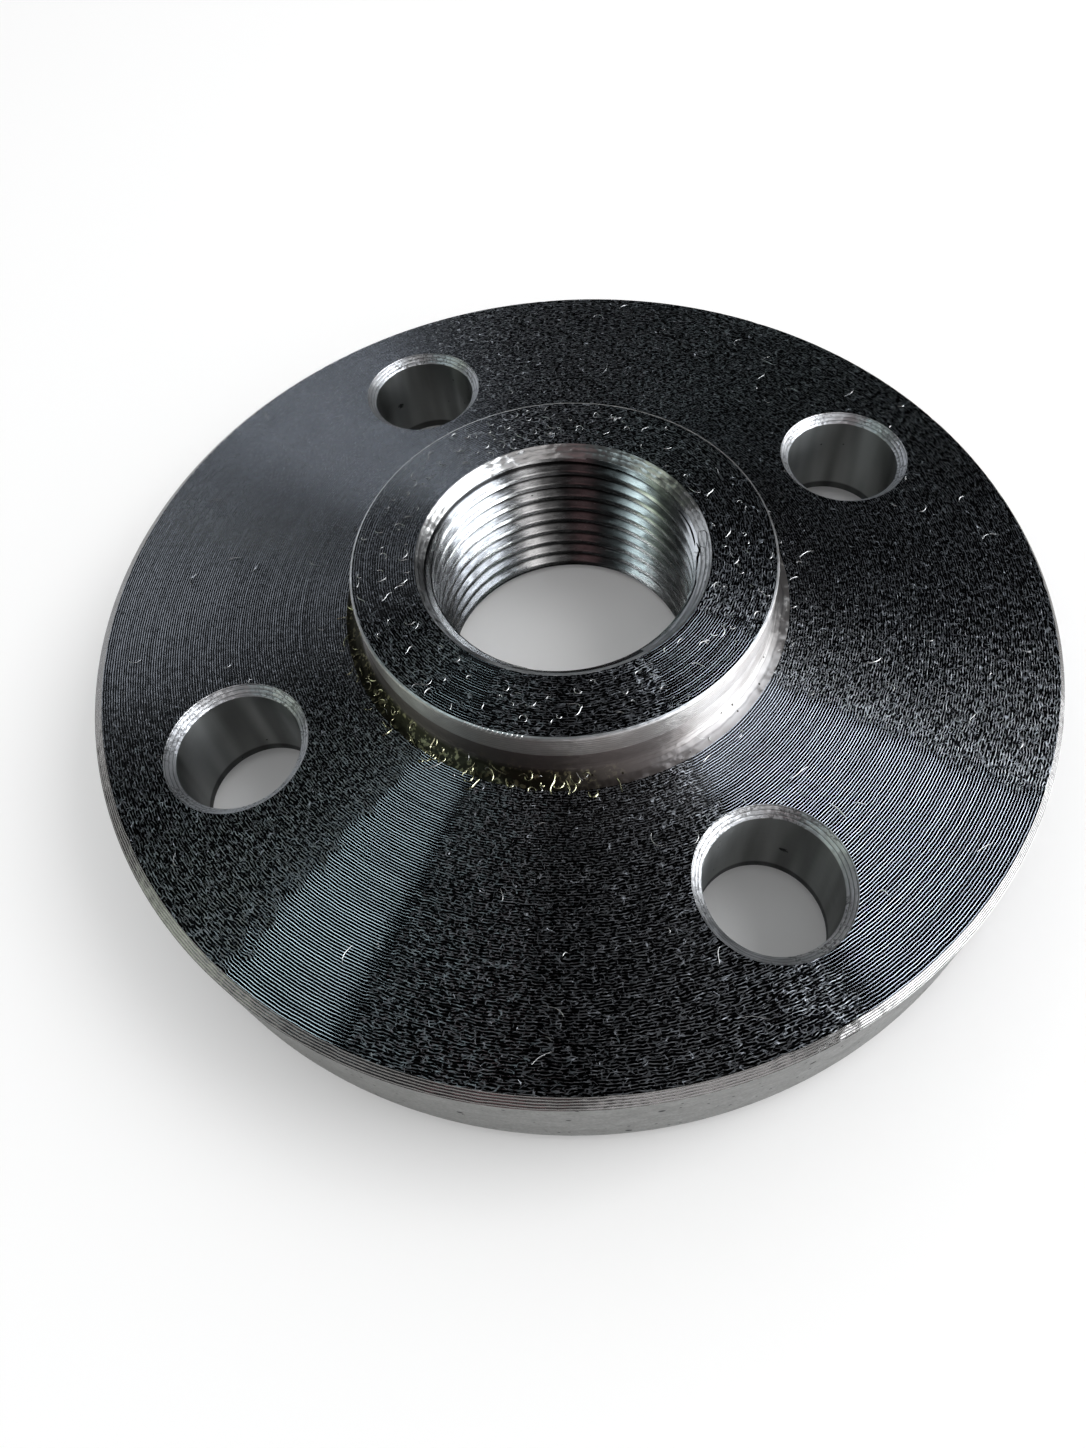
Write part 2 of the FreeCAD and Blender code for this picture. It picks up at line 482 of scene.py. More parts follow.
class Finish(Nodes):
    """One steel finish, built node by node around a Principled shader."""

    def __init__(self, name, around_holes=False):
        self.material = bpy.data.materials.new(name)
        super().__init__(self.material)
        self.shader = self.tree.nodes["Principled BSDF"]
        coordinate = self.node("ShaderNodeTexCoord").outputs["Object"]
        self.place = self.scaled(coordinate, 1 / MM)
        parts = self.node("ShaderNodeSeparateXYZ", Vector=self.place)
        x, y, self.z = (parts.outputs[i] for i in range(3))
        if around_holes:
            offset = BOLT_CIRCLE_RADIUS * math.sqrt(0.5)
            x, y = (self.math("SUBTRACT", value, self.times(self.math("SIGN", value), offset))
                    for value in (x, y))
        flat = self.node("ShaderNodeCombineXYZ", X=x, Y=y).outputs[0]
        self.radius = self.vector("LENGTH", flat)
        self.outward = self.vector("NORMALIZE", flat)
        self.normal = self.node("ShaderNodeNewGeometry").outputs["Normal"]

    def stretched(self, across, along):
        """Return the place scaled by one factor in the plane and another along the bore."""
        return self.vector("MULTIPLY", self.place, (across, across, along))

    def texture(self, scale, detail, place):
        """Return the outputs of a noise texture."""
        place = place or self.place
        return self.node("ShaderNodeTexNoise", Vector=place, Scale=scale, Detail=detail).outputs

    def noise(self, scale, detail, place=None):
        """Return a noise value from 0 to 1."""
        return self.texture(scale, detail, place)["Fac"]

    def scatter(self, scale, detail, place=None):
        """Return a random vector around zero."""
        return self.vector("SUBTRACT", self.texture(scale, detail, place)["Color"], (0.5, 0.5, 0.5))

    def phase(self, position, pitch, drift, amount):
        """Count the tool rings up to a position, drifting with a noise."""
        return self.math("MULTIPLY_ADD", drift, amount, self.math("DIVIDE", position, pitch))

    def within(self, phase):
        """Return how far across its ring a place is, from -0.5 to 0.5."""
        return self.math("SUBTRACT", self.math("FRACT", phase), 0.5)

    def leaned(self, normal, direction, amount):
        """Return the normal leaned along a direction by the given slope."""
        return self.vector("NORMALIZE", self.vector("ADD", normal, self.scaled(direction, amount)))

    def ringed(self, pitch, drift, wander, strength, lean=0.0):
        """Return how far across its ring a place is, and the normal over rings along the height."""
        within = self.within(self.phase(self.z, pitch, drift, wander))
        slope = self.math("MULTIPLY_ADD", within, strength, lean)
        return within, self.leaned(self.normal, UP, slope)

    def uneven(self, normal, scatter, amount):
        """Give the shader a normal that leans at random."""
        self.fill(self.shader, Normal=self.leaned(normal, scatter, amount))

    def spotted(self, light, spots, depth):
        """Return a light value that is darker where the spots are."""
        return self.times(light, self.math("SUBTRACT", 1.0, self.times(spots, depth)))

    def steel(self, tone, roughness, anisotropy=0.0, across=None):
        """Make the shader bare steel, rougher across its tool marks, and return the material."""
        self.fill(self.shader, Metallic=1.0, Base_Color=tone, Roughness=roughness)
        if anisotropy:
            upright = self.node("ShaderNodeCombineXYZ", Z=1.0).outputs[0]
            self.fill(self.shader, Anisotropic=anisotropy, Tangent=across or upright)
        return self.material


# Facing marks of the lathe, and the sectors where they run clean and even; outside these sectors the ground
# gets painted shade
FACING_PITCH = 0.29
FACING_STEEPNESS = 0.58
FACING_CURL = 1.6
FACED_BASE = (0.53, 0.55, 0.58)
HAIR_TONE = (0.82, 0.85, 0.88)
INNER_FLANK = -0.20
CLEAN_CURL = 0.45
# Painted shade: tones of the grooves, also in the even sector, and of the ground outside the clean sectors,
# as shares of the base
GROOVE_SHADE_TONE = 0.04
EVEN_GROOVE_SHADE_TONE = 0.75
WILD_SHADE_TONE = 0.25
EVEN_SECTOR = (151.0, 32.0, 54.0)
CLEAN_SECTORS = (EVEN_SECTOR, (235.5, 6.6, 8.4), (308.5, 13.0, 18.0))

# Sectors with painted shade, darkening the tone where the steel reflects little light: bearing, inner and
# outer half width, and factor
FACED_PAINTED_SHADES = ((274.0, 6.0, 20.0, 0.5), (338.0, 6.0, 14.0, 0.8),
                (22.0, 20.0, 45.0, 0.8), (167.0, 8.0, 30.0, 0.68))
THREAD_PAINTED_SHADES = ((75.0, 13.0, 30.0, 0.2), (24.0, 6.0, 16.0, 0.45))
MOUTH_PAINTED_SHADES = ((206.0, 22.0, 36.0, 0.25), (22.0, 5.0, 18.0, 0.6), (60.0, 6.0, 14.0, 0.7))
MOUTH_DULL_SECTOR = (262.0, 25.0, 45.0)

# The thread's crests are torn, and face about this far above level
THREAD_FACING = math.radians(47)
THREAD_TEAR = 3.0
THREAD_TONE = (0.84, 0.85, 0.84)
# Painted shade: between these radii the thread's tone fades to dark towards the roots
THREAD_ROOT_SHADE_START = CREST_RADIUS + 0.65
THREAD_ROOT_SHADE_END = CREST_RADIUS + 0.95

# Dark marks on the hole walls: bearing of the hole, bearing around it, and depth
HOLE_MARKS = ((-66.55, 62.0, 8.2), (113.45, 130.0, 7.4))
HOLE_TONE = (0.38, 0.39, 0.38)
COUNTERSINK_RING_PITCH = 0.34
COUNTERSINK_BRIGHT = (0.88, 0.88, 0.88)
COUNTERSINK_DARK = (0.10, 0.095, 0.09)
RIM_TONE = (0.42, 0.42, 0.41)

# The hub's side, and the oil and fine swarf dried on at its root
HUB_RING_PITCH = 0.42
HUB_LEAN = 0.2
HUB_ROUGHNESS = 0.42
HUB_BROWN = (0.42, 0.38, 0.36)
HUB_GREY = (0.78, 0.77, 0.75)
# Painted shade: the tone the lower band takes in the front sector
HUB_SHADED = (0.20, 0.175, 0.165)
OIL_DARK = (0.055, 0.052, 0.035)
OIL_GOLD = (0.40, 0.37, 0.22)
OIL_SPECK = (0.06, 0.05, 0.04)
HUB_FRONT_SHADE_SECTOR = (-112.0, 25.0, 62.0)
OIL_STAIN_SECTOR = (-142.0, 38.0, 66.0)


def shade(tone, factor):
    """Return a tone made darker or lighter."""
    return tuple(factor * channel for channel in tone)


def sector(finish, degrees, inner, outer, ragged=0.0):
    """Return 1 inside a sector of the photograph's frame, fading to 0 outside it."""
    alignment = finish.vector("DOT_PRODUCT", finish.outward, direction(degrees, 0.0))
    if ragged:
        wobble = finish.math("SUBTRACT", finish.noise(0.7, 2.0), 0.5)
        alignment = finish.math("MULTIPLY_ADD", wobble, ragged * math.sin(math.radians(outer)), alignment)
    return finish.within_cone(alignment, inner, outer)


def clean_share(finish, ragged):
    """Return how clean and even the facing marks are at a bearing."""
    share = 0.0
    for degrees, inner, outer in CLEAN_SECTORS:
        share = finish.math("MAXIMUM", sector(finish, degrees, inner, outer, ragged), share)
    return share


def painted_shade(finish, light, painted_shades):
    """Return a light value with painted shade: dimmed inside each (bearing, inner, outer, factor) sector.
    """
    for degrees, inner, outer, factor in painted_shades:
        dimmed = finish.ramp(sector(finish, degrees, inner, outer), 0.0, 1.0, 1.0, factor)
        light = finish.times(light, dimmed)
    return light


def along_rings(finish, mean_radius, stretch):
    """Return a place unrolled around the bore, so that marks drawn on it follow the rings."""
    parts = finish.node("ShaderNodeSeparateXYZ", Vector=finish.outward)
    bearing = finish.math("ARCTAN2", parts.outputs[1], parts.outputs[0])
    across = finish.times(finish.radius, stretch)
    around = finish.times(bearing, mean_radius)
    return finish.node("ShaderNodeCombineXYZ", X=across, Y=around).outputs[0]


def pits(finish, spacing, size, share):
    """Return a mask of small round pits, at a share of evenly spread places."""
    cells = finish.node("ShaderNodeTexVoronoi", Vector=finish.place, Scale=1 / spacing)
    draw = finish.node("ShaderNodeSeparateColor", Color=cells.outputs["Color"]).outputs[0]
    spot = finish.ramp(cells.outputs["Distance"], 0.4 * size / spacing, 0.6 * size / spacing, 1.0, 0.0)
    return finish.times(finish.math("LESS_THAN", draw, share), spot)


def curls(finish, place, cell, width, share, offset):
    """Return a mask of curly hairlines of even width, broken off outside a share of the surface."""
    place = finish.vector("ADD", place, (offset, offset, 0.0))
    bend = finish.scatter(0.9 / cell, 1.0, place)
    bent = finish.vector("ADD", place, finish.scaled(bend, 1.6 * cell))
    cells = finish.node("ShaderNodeTexVoronoi", Vector=bent, Scale=1 / cell)
    cells.voronoi_dimensions = "2D"
    cells.feature = "DISTANCE_TO_EDGE"
    line = finish.ramp(cells.outputs["Distance"], 0.25 * width / cell, 0.75 * width / cell, 1.0, 0.0)
    limit = 0.62 - 0.24 * share
    kept = finish.ramp(finish.noise(1.4 / cell, 0.0, place), limit, limit + 0.04)
    return finish.times(line, kept)


def faced_steel(name, pitch, steepness, curl, base, mean_radius=42.0, long_hairs=0.05, ragged=0.09):
    """Return steel faced in the lathe: fine rings that turn into curly hairlines, with painted shade in the
    grooves and outside the clean sectors.
    """
    finish = Finish(name)
    clean = clean_share(finish, ragged)
    even = sector(finish, *EVEN_SECTOR)
    swirl = finish.noise(0.85, 1.0)
    curliness = finish.math("MULTIPLY_ADD", clean, CLEAN_CURL - curl, curl)
    phase = finish.phase(finish.radius, pitch, swirl, curliness)
    off_crest = finish.math("ABSOLUTE", finish.within(phase))

    # Each ring leans on its outer side, which catches the light
    reach = finish.times(off_crest, finish.ramp(even, 0.0, 1.0, 1.0, 0.45))
    flank = finish.ramp(reach, 0.05, 0.15, 1.0, 0.0)
    ring_number = finish.node("ShaderNodeCombineXYZ", X=finish.math("FLOOR", phase)).outputs[0]
    ring_depth = finish.node("ShaderNodeTexWhiteNoise", Vector=ring_number).outputs["Value"]
    cut = finish.math("MULTIPLY_ADD", ring_depth, 0.12 * steepness, 0.94 * steepness)
    slope = finish.math("MULTIPLY_ADD", flank, cut, INNER_FLANK)
    normal = finish.leaned(finish.normal, finish.outward, slope)

    # Bright hairlines: bits of the rings, and curls that follow them
    crest = finish.ramp(off_crest, 0.10, 0.22, 1.0, 0.0)
    broken = finish.noise(1.5, 2.0, along_rings(finish, mean_radius, 2.5))
    quiet = finish.math("MULTIPLY_ADD", even, -0.5, clean)
    dull = finish.ramp(quiet, 0.0, 1.0, 1.0, 0.05)
    ring_bits = finish.times(crest, finish.ramp(broken, 0.38, 0.62, 0.05, 0.95))
    drawn = along_rings(finish, mean_radius, 1.5)
    fine = curls(finish, drawn, 0.62, 0.085, 0.34, 3.0)
    second = curls(finish, drawn, 1.05, 0.085, 0.34, 41.0)
    hairs = finish.math("MAXIMUM", ring_bits, finish.math("MAXIMUM", fine, second))
    hairs = finish.times(hairs, dull)
    bold = curls(finish, drawn, 1.5, 0.11, long_hairs, 77.0)
    bold = finish.math("MAXIMUM", bold, pits(finish, 0.8, 0.20, 0.12))
    bold = finish.times(bold, finish.ramp(quiet, 0.0, 1.0, 1.0, 0.0))
    hairs = finish.math("MAXIMUM", finish.times(hairs, 0.9), bold)
    strength = finish.math("MULTIPLY_ADD", bold, 0.8, hairs)
    finish.uneven(normal, finish.scatter(1.9, 1.0), strength)

    # Painted shade: near-black grooves, and ground painted darker where the marks run wild, outside the
    # clean sectors
    blotch = finish.noise(0.12, 3.0)
    ground = finish.blend(blotch, shade(base, 0.85), shade(base, 1.1))
    streak = finish.noise(1.0, 3.0, along_rings(finish, 0.1 * mean_radius, 2.0))
    ground = finish.scaled(ground, finish.ramp(streak, 0.3, 0.7, 0.85, 1.15))
    ground = finish.blend(clean, shade(base, WILD_SHADE_TONE), ground)
    groove = finish.ramp(off_crest, 0.08, 0.19, 0.0, 1.0)
    groove_shade_tone = finish.blend(even, shade(base, GROOVE_SHADE_TONE), shade(base, EVEN_GROOVE_SHADE_TONE))
    ground = finish.blend(groove, ground, groove_shade_tone)
    tone = finish.blend(hairs, ground, HAIR_TONE)
    # Painted shade: the faced tone is darkened in the given sectors
    tone = finish.scaled(tone, painted_shade(finish, 1.0, FACED_PAINTED_SHADES))
    worn = finish.ramp(blotch, 0.3, 0.7, 0.13, 0.18)
    return finish.steel(tone, finish.math("MULTIPLY_ADD", hairs, 0.45, worn), 0.75, finish.outward)


def turned_steel(name, pitch, strength, base, roughness, wear=0.3, lean=0.0, grain=0.6, painted_shades=(),
                 dull_sector=None):
    """Return steel with tool rings that follow each other along the height, and painted shade in the given
    sectors.
    """
    finish = Finish(name)
    normal = finish.ringed(pitch, finish.noise(0.5, 2.0), 0.6, strength, lean)[1]
    finish.uneven(normal, finish.scatter(1.2, 3.0), wear)
    blotch = finish.noise(0.35, 3.0)
    tone = finish.blend(blotch, shade(base, 0.75), shade(base, 1.15))
    spots = pits(finish, 1.4, 0.25, 0.12)
    tone = finish.blend(spots, tone, shade(base, 0.25))
    # Painted shade: darken the tone in the given sectors
    if painted_shades:
        tone = finish.scaled(tone, painted_shade(finish, 1.0, painted_shades))
    if dull_sector:
        roughness = finish.ramp(sector(finish, *dull_sector), 0.0, 1.0, roughness, roughness + 0.3)
    return finish.steel(tone, finish.math("MULTIPLY_ADD", blotch, 0.08, roughness), grain)


def thread_steel(name):
    """Return the thread's steel: torn crests that face up into the light, over roots darkened by painted
    shade.
    """
    finish = Finish(name)
    inward = finish.scaled(finish.outward, -math.cos(THREAD_FACING))
    facing = finish.vector("ADD", inward, (0.0, 0.0, math.sin(THREAD_FACING)))
    normal = finish.leaned(finish.normal, facing, THREAD_TEAR)
    finish.uneven(normal, finish.scatter(1.6, 3.0, finish.stretched(0.5, 1.5)), 0.09)
    rings = finish.noise(1.6, 3.0, finish.stretched(0.2, 2.5))
    # Painted shade: the roots are darkened to 6 percent of the tone
    root = finish.ramp(finish.radius, THREAD_ROOT_SHADE_START, THREAD_ROOT_SHADE_END, 1.0, 0.06)
    light = finish.times(root, finish.ramp(rings, 0.35, 0.65, 0.8, 1.12))
    # Painted shade: the thread's tone is darkened in the given sectors
    light = painted_shade(finish, light, THREAD_PAINTED_SHADES)
    light = finish.spotted(light, pits(finish, 1.2, 0.25, 0.15), 0.85)
    tone = finish.scaled(THREAD_TONE, light)
    return finish.steel(tone, finish.ramp(rings, 0.3, 0.7, 0.20, 0.28), 0.4)


def hub_steel(name):
    """Return the hub's side: a ringed upper band, a smoother lower one with painted shade at the front, and
    a stained root.
    """
    finish = Finish(name)
    seam = PLATE_TOP + HUB_SEAM_HEIGHT
    lower = finish.ramp(finish.z, seam - 0.1, seam + 0.1, 1.0, 0.0)
    root = finish.ramp(finish.z, PLATE_TOP + 0.7, PLATE_TOP + 1.6, 1.0, 0.0)
    strength = finish.ramp(lower, 0.0, 1.0, 0.9, 0.4)
    within, normal = finish.ringed(HUB_RING_PITCH, finish.noise(0.4, 2.0), 0.8, strength, HUB_LEAN)
    finish.uneven(normal, finish.scatter(1.3, 3.0), 0.25)

    blotch = finish.noise(0.3, 3.0)
    tone = finish.blend(blotch, HUB_BROWN, HUB_GREY)
    line = finish.ramp(finish.math("ABSOLUTE", within), 0.30, 0.45, 1.0, 0.72)
    tone = finish.scaled(tone, line)
    # Painted shade: the lower band is darkened in the front sector
    front = sector(finish, *HUB_FRONT_SHADE_SECTOR)
    tone = finish.blend(finish.times(lower, front), tone, HUB_SHADED)
    patches = finish.ramp(finish.noise(0.6, 2.0), 0.42, 0.56)
    stained = finish.times(sector(finish, *OIL_STAIN_SECTOR), root)
    flecks = finish.ramp(finish.noise(2.2, 3.0), 0.50, 0.62)
    oil = finish.blend(finish.times(flecks, patches), OIL_DARK, OIL_GOLD)
    tone = finish.blend(stained, tone, oil)
    specks = finish.times(pits(finish, 0.8, 0.3, 0.2), root)
    tone = finish.blend(specks, tone, OIL_SPECK)
    return finish.steel(tone, finish.math("MULTIPLY_ADD", blotch, 0.08, HUB_ROUGHNESS), 0.85)


def hole_marks(finish):
    """Return a mask of the dark marks on the walls of two holes."""
    mask = 0.0
    for hole, around, depth in HOLE_MARKS:
        mark = BOLT_CIRCLE_RADIUS * direction(hole, 0.0) + HOLE_RADIUS * direction(around, 0.0)
        mark.z = PLATE_TOP - depth
        ragged = finish.vector("ADD", finish.place, finish.scatter(2.5, 2.0))
        away = finish.vector("LENGTH", finish.vector("SUBTRACT", ragged, mark))
        mask = finish.math("MAXIMUM", finish.ramp(away, 0.3, 0.5, 1.0, 0.0), mask)
    return mask


def hole_steel(name):
    """Return a drilled wall: dark and brushed, with a band of painted shade near its foot."""
    finish = Finish(name, around_holes=True)
    flutes = finish.stretched(1.0, 0.08)
    finish.uneven(finish.normal, finish.scatter(3.0, 2.0, flutes), 0.15)
    streak = finish.noise(0.3, 1.0, flutes)
    # Painted shade: the lowest part of the wall is darkened to 30 percent
    foot = finish.ramp(finish.z, PLATE_BOTTOM + 1.2, PLATE_BOTTOM + 1.6, 0.3, 1.0)
    dark = finish.math("MAXIMUM", pits(finish, 1.5, 0.25, 0.14), hole_marks(finish))
    light = finish.times(foot, finish.ramp(streak, 0.35, 0.65, 0.7, 1.4))
    tone = finish.scaled(HOLE_TONE, finish.spotted(light, dark, 0.9))
    rings = finish.noise(5.0, 2.0, finish.stretched(0.15, 1.0))
    return finish.steel(tone, finish.ramp(rings, 0.3, 0.7, 0.30, 0.40), 0.8)


def countersink_steel(name):
    """Return a hole's mouth: bright rings, chattered and speckled with dark marks."""
    finish = Finish(name, around_holes=True)
    drift = finish.noise(0.5, 2.0)
    within, normal = finish.ringed(COUNTERSINK_RING_PITCH, drift, 0.5, 0.9)
    finish.uneven(normal, finish.scatter(1.8, 3.0), 0.6)
    where = finish.ramp(finish.noise(0.35, 1.0), 0.40, 0.60)
    mottle = finish.ramp(finish.noise(3.2, 2.0), 0.52, 0.60)
    line = finish.ramp(finish.math("ABSOLUTE", within), 0.38, 0.47)
    dark = finish.math("MAXIMUM", finish.times(mottle, where), line)
    tone = finish.blend(finish.times(dark, 0.65), COUNTERSINK_BRIGHT, COUNTERSINK_DARK)
    return finish.steel(tone, finish.ramp(drift, 0.3, 0.7, 0.40, 0.55), 0.5)


def rim_steel(name):
    """Return the rim's wall: matte grey, with dark pits and scratches."""
    finish = Finish(name)
    finish.uneven(finish.normal, finish.scatter(2.2, 3.0), 0.5)
    blotch = finish.noise(0.45, 4.0, finish.stretched(1.0, 2.5))
    grain = finish.ramp(finish.noise(3.5, 2.0), 0.2, 0.8, 0.85, 1.15)
    light = finish.times(finish.ramp(blotch, 0.3, 0.7, 0.85, 1.1), grain)
    spots = finish.math("MAXIMUM", pits(finish, 1.1, 0.34, 0.30), pits(finish, 2.6, 0.7, 0.14))
    tone = finish.scaled(RIM_TONE, finish.spotted(light, spots, 0.93))
    return finish.steel(tone, finish.ramp(blotch, 0.3, 0.7, 0.45, 0.6))


def steel_finishes():
    """Return the flange's materials by the name of the surface they cover."""
    faced = (FACING_PITCH, FACING_STEEPNESS, FACING_CURL, FACED_BASE)
    return {
        "faced": faced_steel("faced_steel", *faced),
        "hub_top": faced_steel("hub_top_steel", *faced, mean_radius=21.0, long_hairs=0.3, ragged=0.5),
        # Painted shade: the mouth's tone is darkened in the given sectors
        "mouth": turned_steel("mouth_chamfer_steel", 0.5, 0.5, (0.72, 0.71, 0.69), 0.30, 0.50,
                              painted_shades=MOUTH_PAINTED_SHADES, dull_sector=MOUTH_DULL_SECTOR),
        "thread": thread_steel("thread_steel"),
        "hub_side": hub_steel("hub_side_steel"),
        "rim_chamfer": turned_steel("rim_chamfer_steel", 0.2, 1.2, (0.42, 0.41, 0.40), 0.2),
        "rim": rim_steel("rim_steel"),
        "countersink": countersink_steel("countersink_steel"),
        "hole": hole_steel("hole_wall_steel"),
        "chamfer": turned_steel("edge_steel", 0.2, 0.1, (0.62, 0.61, 0.60), 0.35, lean=0.5, grain=0.0),
        # Worn bright steel with a painted highlight: a lighter tone on the hub's top edge for its thin
        # bright line
        "hub_edge": turned_steel("hub_edge_highlight_steel", 0.2, 0.1, (0.90, 0.90, 0.88), 0.35,
                                 lean=-0.15, grain=0.0),
        "underside": faced_steel("underside_steel", FACING_PITCH, 0.5, 2.0, (0.52, 0.52, 0.53)),
        "sealing": faced_steel("sealing_face_steel", 0.6, 0.8, 0.2, (0.55, 0.55, 0.56),
                               mean_radius=25.0),
    }


def build_flange():
    """Build the flange's mesh as one closed shell."""
    shell = Shell()
    foot_ring = shell.ring(CREST_RADIUS + FOOT_CHAMFER, 0.0)
    mouth_ring = shell.ring(MOUTH_RADIUS, HUB_TOP)
    add_bore(shell, foot_ring, mouth_ring)
    top_rings, bottom_rings = add_bolt_holes(shell)
    add_outside(shell, mouth_ring, foot_ring, top_rings, bottom_rings)
    return add_piece("flange_body", shell, steel_finishes())


# Swarf: fine curled chips that lie on the plate, and burrs on its edges
CHIP_SEED = 11
CHIP_SIDES = 4
CHIP_STEPS = 10
CHIP_LIFT = 0.08
CHIP_THICKNESS = (0.02, 0.045)
CHIP_END_SHARE = 0.35
PLATE_CHIPS = 60
ROOT_CHIPS = 50
EDGE_CHIPS = 30
HUB_CHIPS = 140
HUB_CHIP_LENGTHS = (0.5, 1.8)
OILY_CHIPS = 60
OILY_SECTOR = (-190.0, -76.0, -135.0)
OILY_THICKNESS = (0.04, 0.10)
OILY_LENGTHS = (0.7, 2.2)
BURR_TICKS = 13
BURR_START = -119.5
BURR_END = -105.0
BURR_THICKNESS = 0.11
BURR_STEPS = 3
BURR_REACH = 0.30
BURR_SLANT = 0.012

# The torn lip at the mouth, and near-black tubes of painted shade in its cracks: finish, thickness, and
# points as (bearing, radius)
LIP_STEPS = 3
TORN_LIP = (
    ("gap", 0.12, ((20.5, 15.72), (9.5, 15.8), (2.0, 15.75), (-1.0, 15.7))),
    ("gap", 0.16, ((-0.5, 15.9), (-5.0, 16.1), (-8.0, 15.8), (-14.5, 15.68))),
    ("gap", 0.10, ((-14.5, 15.68), (-22.0, 15.85), (-30.0, 15.85), (-40.0, 15.6))),
    ("gap", 0.05, ((4.0, 16.35), (2.5, 16.95), (0.5, 17.1), (-3.5, 16.9), (-6.0, 16.7))),
    ("gap", 0.05, ((-6.0, 16.7), (-2.5, 16.1), (1.5, 16.15), (4.0, 16.35))),
    ("gap", 0.07, ((150.0, 15.7), (170.0, 15.6), (190.0, 15.7), (210.0, 15.6), (230.0, 15.7),
                   (250.0, 15.65))),
    ("chip", 0.10, ((-4.0, 15.5), (-6.0, 15.9), (-9.5, 16.6))),
)


def top_height(radius):
    """Return how high the plate and the hub's root fillet are at a radius."""
    reach = HUB_RADIUS + HUB_FILLET - radius
    if reach <= 0:
        return PLATE_TOP
    return PLATE_TOP + HUB_FILLET - math.sqrt(max(0.0, HUB_FILLET ** 2 - reach ** 2))


def add_tube(shell, path, thickness, finish="chip"):
    """Add one closed, tapered chip along a path of points in millimetres."""
    rings = []
    for index, point in enumerate(path):
        before, after = path[max(0, index - 1)], path[min(len(path) - 1, index + 1)]
        along = (after - before).normalized()
        side = along.cross(Vector(UP)).normalized()
        over = side.cross(along)
        swell = math.sin(math.pi * index / (len(path) - 1))
        radius = thickness * (CHIP_END_SHARE + (1 - CHIP_END_SHARE) * swell)
        first = len(shell.points)
        for corner in range(CHIP_SIDES):
            angle = math.tau * corner / CHIP_SIDES
            place = point + radius * (math.cos(angle) * side + math.sin(angle) * over)
            shell.points.append(tuple(place * MM))
        rings.append(list(range(first, first + CHIP_SIDES)))
    for start, end in zip(rings, rings[1:]):
        shell.strip(start, end, finish)
    shell.face(rings[0], finish)
    shell.face(rings[-1][::-1], finish)


def chip_path(draw, radius, bearing, length, bend, thickness):
    """Return the points of one curled chip that starts at a radius and bearing."""
    heading = draw.uniform(0, math.tau)
    turn = draw.uniform(-bend, bend)
    swing = draw.uniform(-bend, bend) * 0.5
    x, y = radius * math.cos(bearing), radius * math.sin(bearing)
    path = []
    for step in range(CHIP_STEPS + 1):
        share = step / CHIP_STEPS
        lift = CHIP_LIFT * math.sin(math.pi * share) ** 2
        path.append(Vector((x, y, top_height(math.hypot(x, y)) + 0.6 * thickness + lift)))
        heading += (turn + swing * math.sin(math.tau * share)) / CHIP_STEPS
        x += math.cos(heading) * length / CHIP_STEPS
        y += math.sin(heading) * length / CHIP_STEPS
    return path


def lies_on_hub(path):
    """Return whether a chip stays on the hub's face."""
    outer = HUB_RADIUS - HUB_EDGE_CHAMFER - 0.2
    return all(MOUTH_RADIUS + 0.4 < Vector(point[:2]).length < outer for point in path)


def add_hub_chips(shell, draw):
    """Scatter short curled chips over the hub's face, in the room left above it."""
    placed = 0
    while placed < HUB_CHIPS:
        radius = draw.uniform(MOUTH_RADIUS + 0.5, HUB_RADIUS - 0.7)
        path = chip_path(draw, radius, draw.uniform(0, math.tau), draw.uniform(*HUB_CHIP_LENGTHS), 4.6, 0.0)
        if lies_on_hub(path):
            for point in path:
                point.z = HUB_TOP + 0.25 * CHIP_ROOM
            add_tube(shell, path, 0.7 * CHIP_ROOM)
            placed += 1


def add_torn_lip(shell):
    """Lay near-black tubes as painted shade in jagged gaps, and a torn lip, along the foot of the mouth's
    chamfer.
    """
    slope = MOUTH_DEPTH / (MOUTH_RADIUS - CREST_RADIUS)
    for finish, thickness, corners in TORN_LIP:
        path = []
        for start, end in zip(corners, corners[1:]):
            for step in range(LIP_STEPS):
                path.append([a + (b - a) * step / LIP_STEPS for a, b in zip(start, end)])
        path.append(corners[-1])
        places = []
        for bearing, radius in path:
            height = HUB_TOP - (MOUTH_RADIUS - radius) * slope
            places.append(Vector(polar(radius, photo_bearing(bearing), height)) / MM)
        add_tube(shell, places, thickness, finish)


def lies_on_plate(path):
    """Return whether a chip stays on the plate, clear of its holes and its rim."""
    outer = RIM_RADIUS - RIM_TOP_CHAMFER - RIM_OFF_CENTRE - 0.2
    hole = HOLE_RADIUS + HOLE_TOP_CHAMFER + 0.1
    flat = [Vector(point[:2]) for point in path]
    clear = all((point - Vector(centre)).length >= hole for point in flat for centre in hole_centres())
    return clear and all(HUB_RADIUS + 0.15 < point.length < outer for point in flat)


def add_chips(shell, draw, count, inner, outer, lengths, bend):
    """Scatter chips over a ring of the plate."""
    placed = 0
    while placed < count:
        radius = math.sqrt(draw.uniform(inner ** 2, outer ** 2))
        thickness = draw.uniform(*CHIP_THICKNESS)
        path = chip_path(draw, radius, draw.uniform(0, math.tau), draw.uniform(*lengths), bend, thickness)
        if lies_on_plate(path):
            add_tube(shell, path, thickness)
            placed += 1


def add_oily_chips(shell, draw):
    """Pile thick oily chips into the hub's root, at the front left."""
    placed = 0
    while placed < OILY_CHIPS:
        bearing = photo_bearing(draw.triangular(*OILY_SECTOR))
        thickness = draw.uniform(*OILY_THICKNESS)
        radius = draw.triangular(HUB_RADIUS + 0.25, HUB_RADIUS + 2.8, HUB_RADIUS + 0.9)
        path = chip_path(draw, radius, bearing, draw.uniform(*OILY_LENGTHS), 4.2, thickness)
        if lies_on_plate(path):
            add_tube(shell, path, thickness, "oily_chip")
            placed += 1


